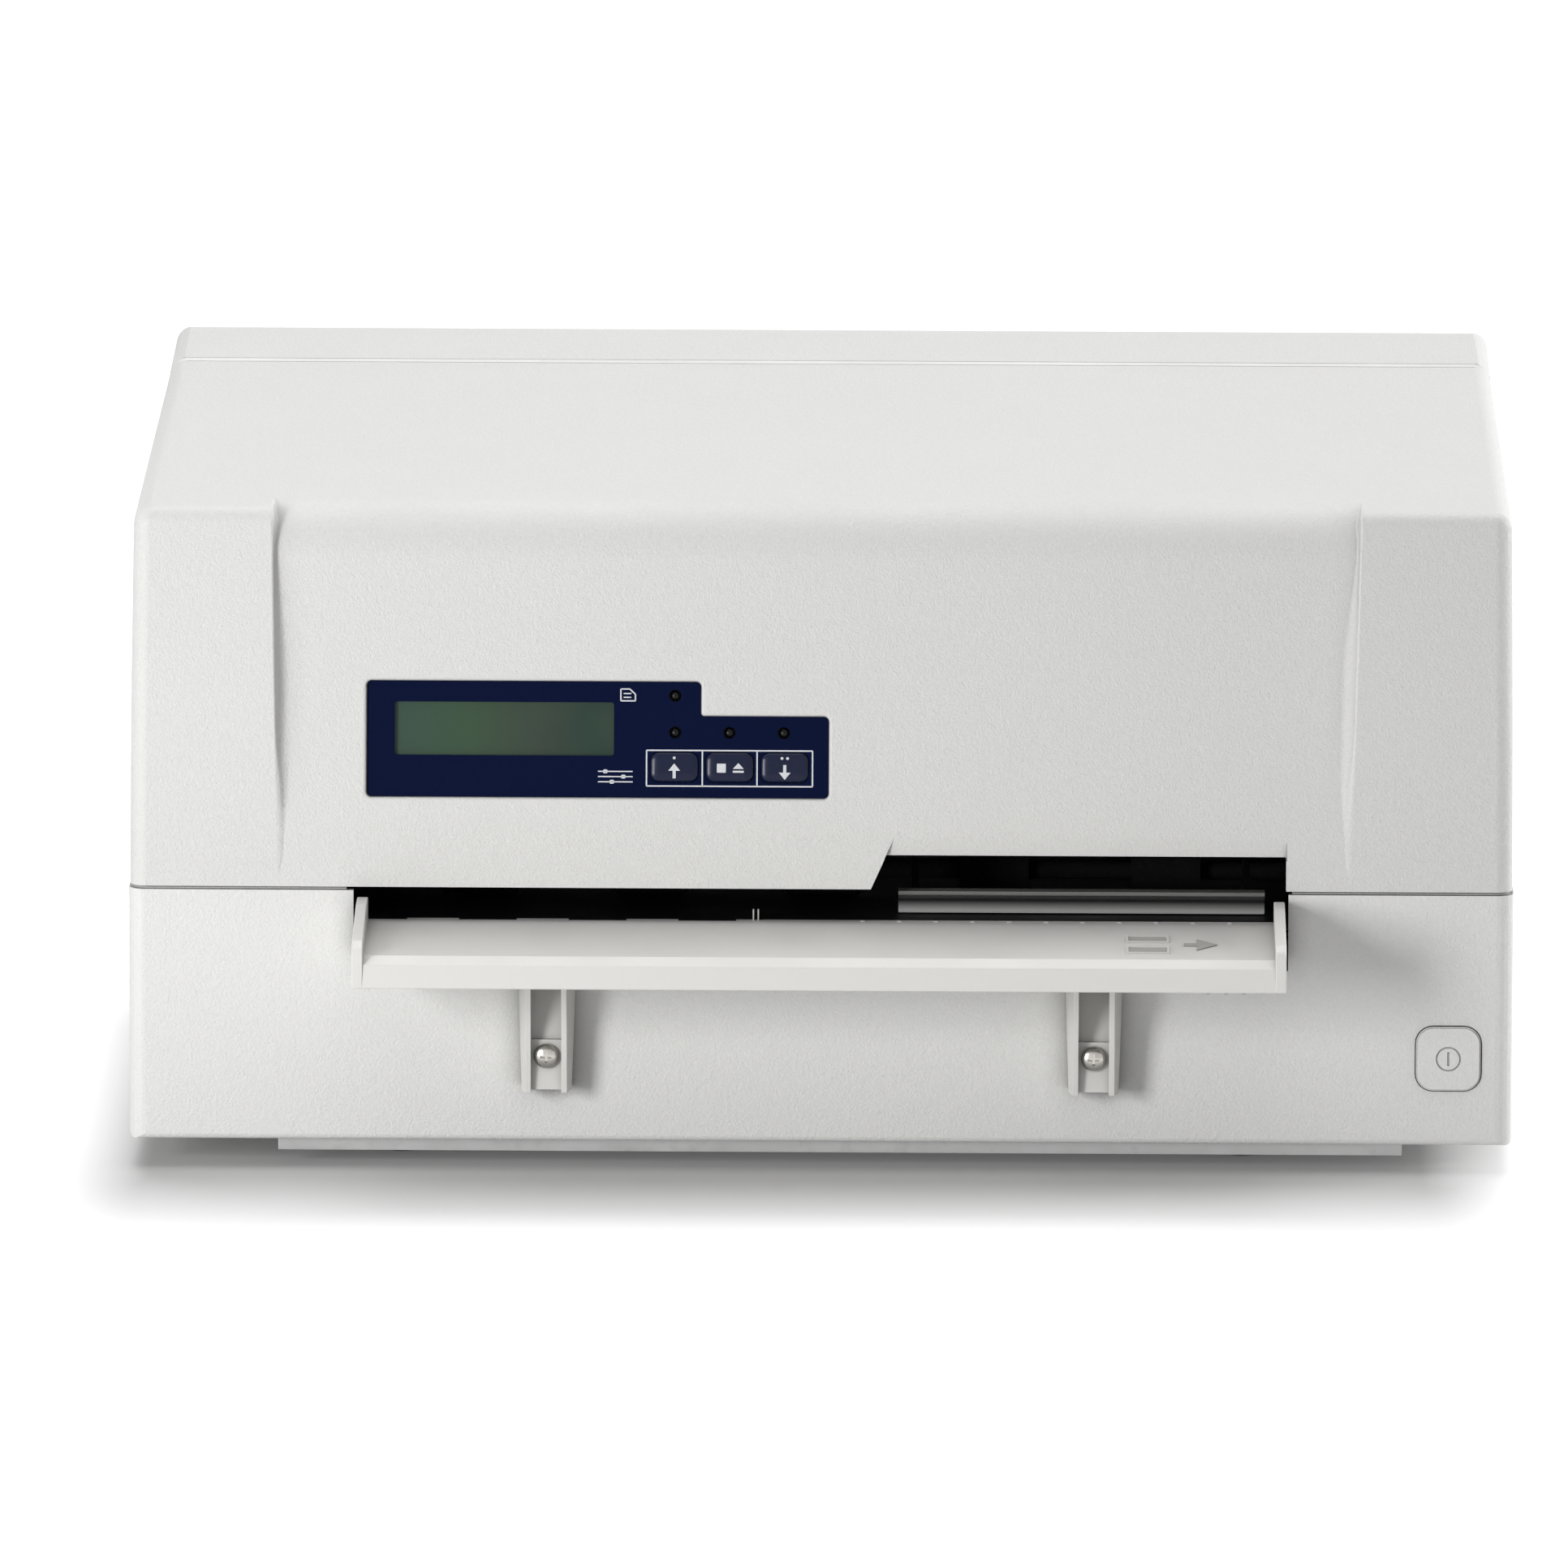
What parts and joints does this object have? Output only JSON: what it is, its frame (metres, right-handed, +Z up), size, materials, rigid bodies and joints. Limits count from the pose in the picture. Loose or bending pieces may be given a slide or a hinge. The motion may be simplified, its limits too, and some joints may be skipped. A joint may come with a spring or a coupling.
{
  "type": "dot matrix document printer",
  "caption": "Low box-shaped impact printer with a hinged top cover, a front paper slot over a short tray, a small display with press keys and a corner power button.",
  "frame": {"origin": "on the desk, at the centre of the footprint, tray included", "axes": "+X to the right of a person facing the front, -Y towards that person, +Z up"},
  "size_m": [0.4, 0.33, 0.2088],
  "materials": {
    "case_plastic": "fine-grained warm white moulding",
    "tray_plastic": "smooth satin moulding",
    "steel": "bright zinc plated",
    "sheet_steel": "plain galvanised sheet",
    "screw_steel": "nickel plated",
    "black_plastic": "black moulding",
    "grey_plastic": "mid grey moulding",
    "white_plastic": "natural acetal",
    "rubber": "matt",
    "navy_film": "printed satin film",
    "navy_key": "domed satin film",
    "lcd_glass": "unlit display glass",
    "dark_lens": "unlit lens",
    "circuit_board": "green solder mask",
    "brass": "turned",
    "bronze": "sintered",
    "motor_steel": "black and bare steel laminations",
    "cast_alloy": "die cast",
    "connector_metal": "tinned shell",
    "inked_cloth": "inked nylon",
    "copper_iron": "iron core with wound coils"
  },
  "bodies": {
    "chassis": {"lower_casing": "case_plastic", "base_plate": "sheet_steel", "feet": "rubber", "base_screws": "screw_steel", "paper_tray": "tray_plastic", "tray_bracket_left": "tray_plastic", "tray_bracket_right": "tray_plastic", "tray_screws": "screw_steel", "rear_hood": "case_plastic", "hinge_pins": "steel", "casing_screws": "screw_steel", "power_switch": "black_plastic", "chassis_pan": "sheet_steel", "side_frame_left": "sheet_steel", "side_frame_right": "sheet_steel", "frame_screws": "screw_steel", "paper_bed": "black_plastic", "upper_paper_guide": "grey_plastic", "platen": "steel", "guide_shaft": "steel", "front_rail": "sheet_steel", "roller_bushes": "bronze", "feed_belt": "rubber", "feed_motor": "motor_steel", "carriage_belt": "rubber", "carriage_motor": "motor_steel", "motor_bracket": "sheet_steel", "idler_bracket": "sheet_steel", "ribbon_cassette": "black_plastic", "ink_ribbon": "inked_cloth", "main_board": "circuit_board", "supply_case": "sheet_steel", "transformer": "copper_iron", "parallel_port": "connector_metal", "serial_port": "connector_metal", "power_inlet": "black_plastic"},
    "cover_body": {"cover": "case_plastic", "panel_overlay": "navy_film", "lcd_module": "black_plastic", "lcd_screen": "lcd_glass", "status_leds": "dark_lens", "panel_board": "circuit_board"},
    "up_key": {"key_up": "navy_key"},
    "stop_key": {"key_stop": "navy_key"},
    "down_key": {"key_down": "navy_key"},
    "power_key": {"power_button": "tray_plastic"},
    "carriage_body": {"carriage": "black_plastic", "print_head": "cast_alloy"},
    "drive_wheel": {"drive_pulley": "brass"},
    "idler_wheel": {"idler_pulley": "brass"},
    "front_roller": {"front_roller_shaft": "steel", "front_feed_rollers": "rubber", "roller_gear": "white_plastic"},
    "rear_roller": {"rear_roller_shaft": "steel", "rear_feed_rollers": "rubber"},
    "feed_motor_pinion": {"feed_pinion": "brass"},
    "front_presser": {"front_pressure_roller": "white_plastic"},
    "rear_presser": {"rear_pressure_roller": "white_plastic"},
    "ribbon_winder": {"ribbon_knob": "white_plastic"}
  },
  "joints": [
    {"name": "cover_hinge", "type": "hinge", "parent": "chassis", "child": "cover_body", "pos_m": [0, 0.0957, 0.20036], "axis": [-1, 0, 0], "range_deg": [0, 70]},
    {"name": "up_key_press", "type": "slide", "parent": "cover_body", "child": "up_key", "axis": [0, 0.9903, -0.1392], "range_m": [0, 0.0005], "stiffness_N_per_m": 1500, "springref_m": -0.0005},
    {"name": "stop_key_press", "type": "slide", "parent": "cover_body", "child": "stop_key", "axis": [0, 0.9903, -0.1392], "range_m": [0, 0.0005], "stiffness_N_per_m": 1500, "springref_m": -0.0005},
    {"name": "down_key_press", "type": "slide", "parent": "cover_body", "child": "down_key", "axis": [0, 0.9903, -0.1392], "range_m": [0, 0.0005], "stiffness_N_per_m": 1500, "springref_m": -0.0005},
    {"name": "power_press", "type": "slide", "parent": "chassis", "child": "power_key", "axis": [0, 1, 0], "range_m": [0, 0.003], "stiffness_N_per_m": 400, "springref_m": -0.003},
    {"name": "carriage_slide", "type": "slide", "parent": "chassis", "child": "carriage_body", "axis": [1, 0, 0], "range_m": [0, 0.23]},
    {"name": "drive_pulley_spin", "type": "hinge", "parent": "chassis", "child": "drive_wheel", "pos_m": [-0.14, 0.052, 0.105], "axis": [0, 1, 0], "range_deg": [-1650, 0]},
    {"name": "idler_pulley_spin", "type": "hinge", "parent": "chassis", "child": "idler_wheel", "pos_m": [0.14, 0.052, 0.105], "axis": [0, 1, 0], "range_deg": [-1650, 0]},
    {"name": "front_roller_spin", "type": "hinge", "parent": "chassis", "child": "front_roller", "pos_m": [0, -0.06, 0.063], "axis": [1, 0, 0], "continuous": true},
    {"name": "rear_roller_spin", "type": "hinge", "parent": "chassis", "child": "rear_roller", "pos_m": [0, 0.045, 0.063], "axis": [1, 0, 0], "continuous": true},
    {"name": "feed_pinion_spin", "type": "hinge", "parent": "chassis", "child": "feed_motor_pinion", "pos_m": [-0.1705, -0.03089, 0.03857], "axis": [1, 0, 0], "continuous": true},
    {"name": "front_presser_spin", "type": "hinge", "parent": "chassis", "child": "front_presser", "pos_m": [0, -0.06, 0.0793], "axis": [1, 0, 0], "continuous": true},
    {"name": "rear_presser_spin", "type": "hinge", "parent": "chassis", "child": "rear_presser", "pos_m": [0, 0.045, 0.0793], "axis": [1, 0, 0], "continuous": true},
    {"name": "ribbon_knob_spin", "type": "hinge", "parent": "chassis", "child": "ribbon_winder", "pos_m": [-0.128, 0.037, 0.15], "axis": [0, 0, 1], "continuous": true}
  ],
  "couplings": [
    {"joint": "drive_pulley_spin", "follows": "carriage_slide", "rad_per_m": -125},
    {"joint": "idler_pulley_spin", "follows": "carriage_slide", "rad_per_m": -125},
    {"joint": "rear_roller_spin", "follows": "front_roller_spin", "ratio": 1},
    {"joint": "feed_pinion_spin", "follows": "front_roller_spin", "ratio": -3.75},
    {"joint": "front_presser_spin", "follows": "front_roller_spin", "ratio": -1.6667},
    {"joint": "rear_presser_spin", "follows": "front_roller_spin", "ratio": -1.6667}
  ]
}
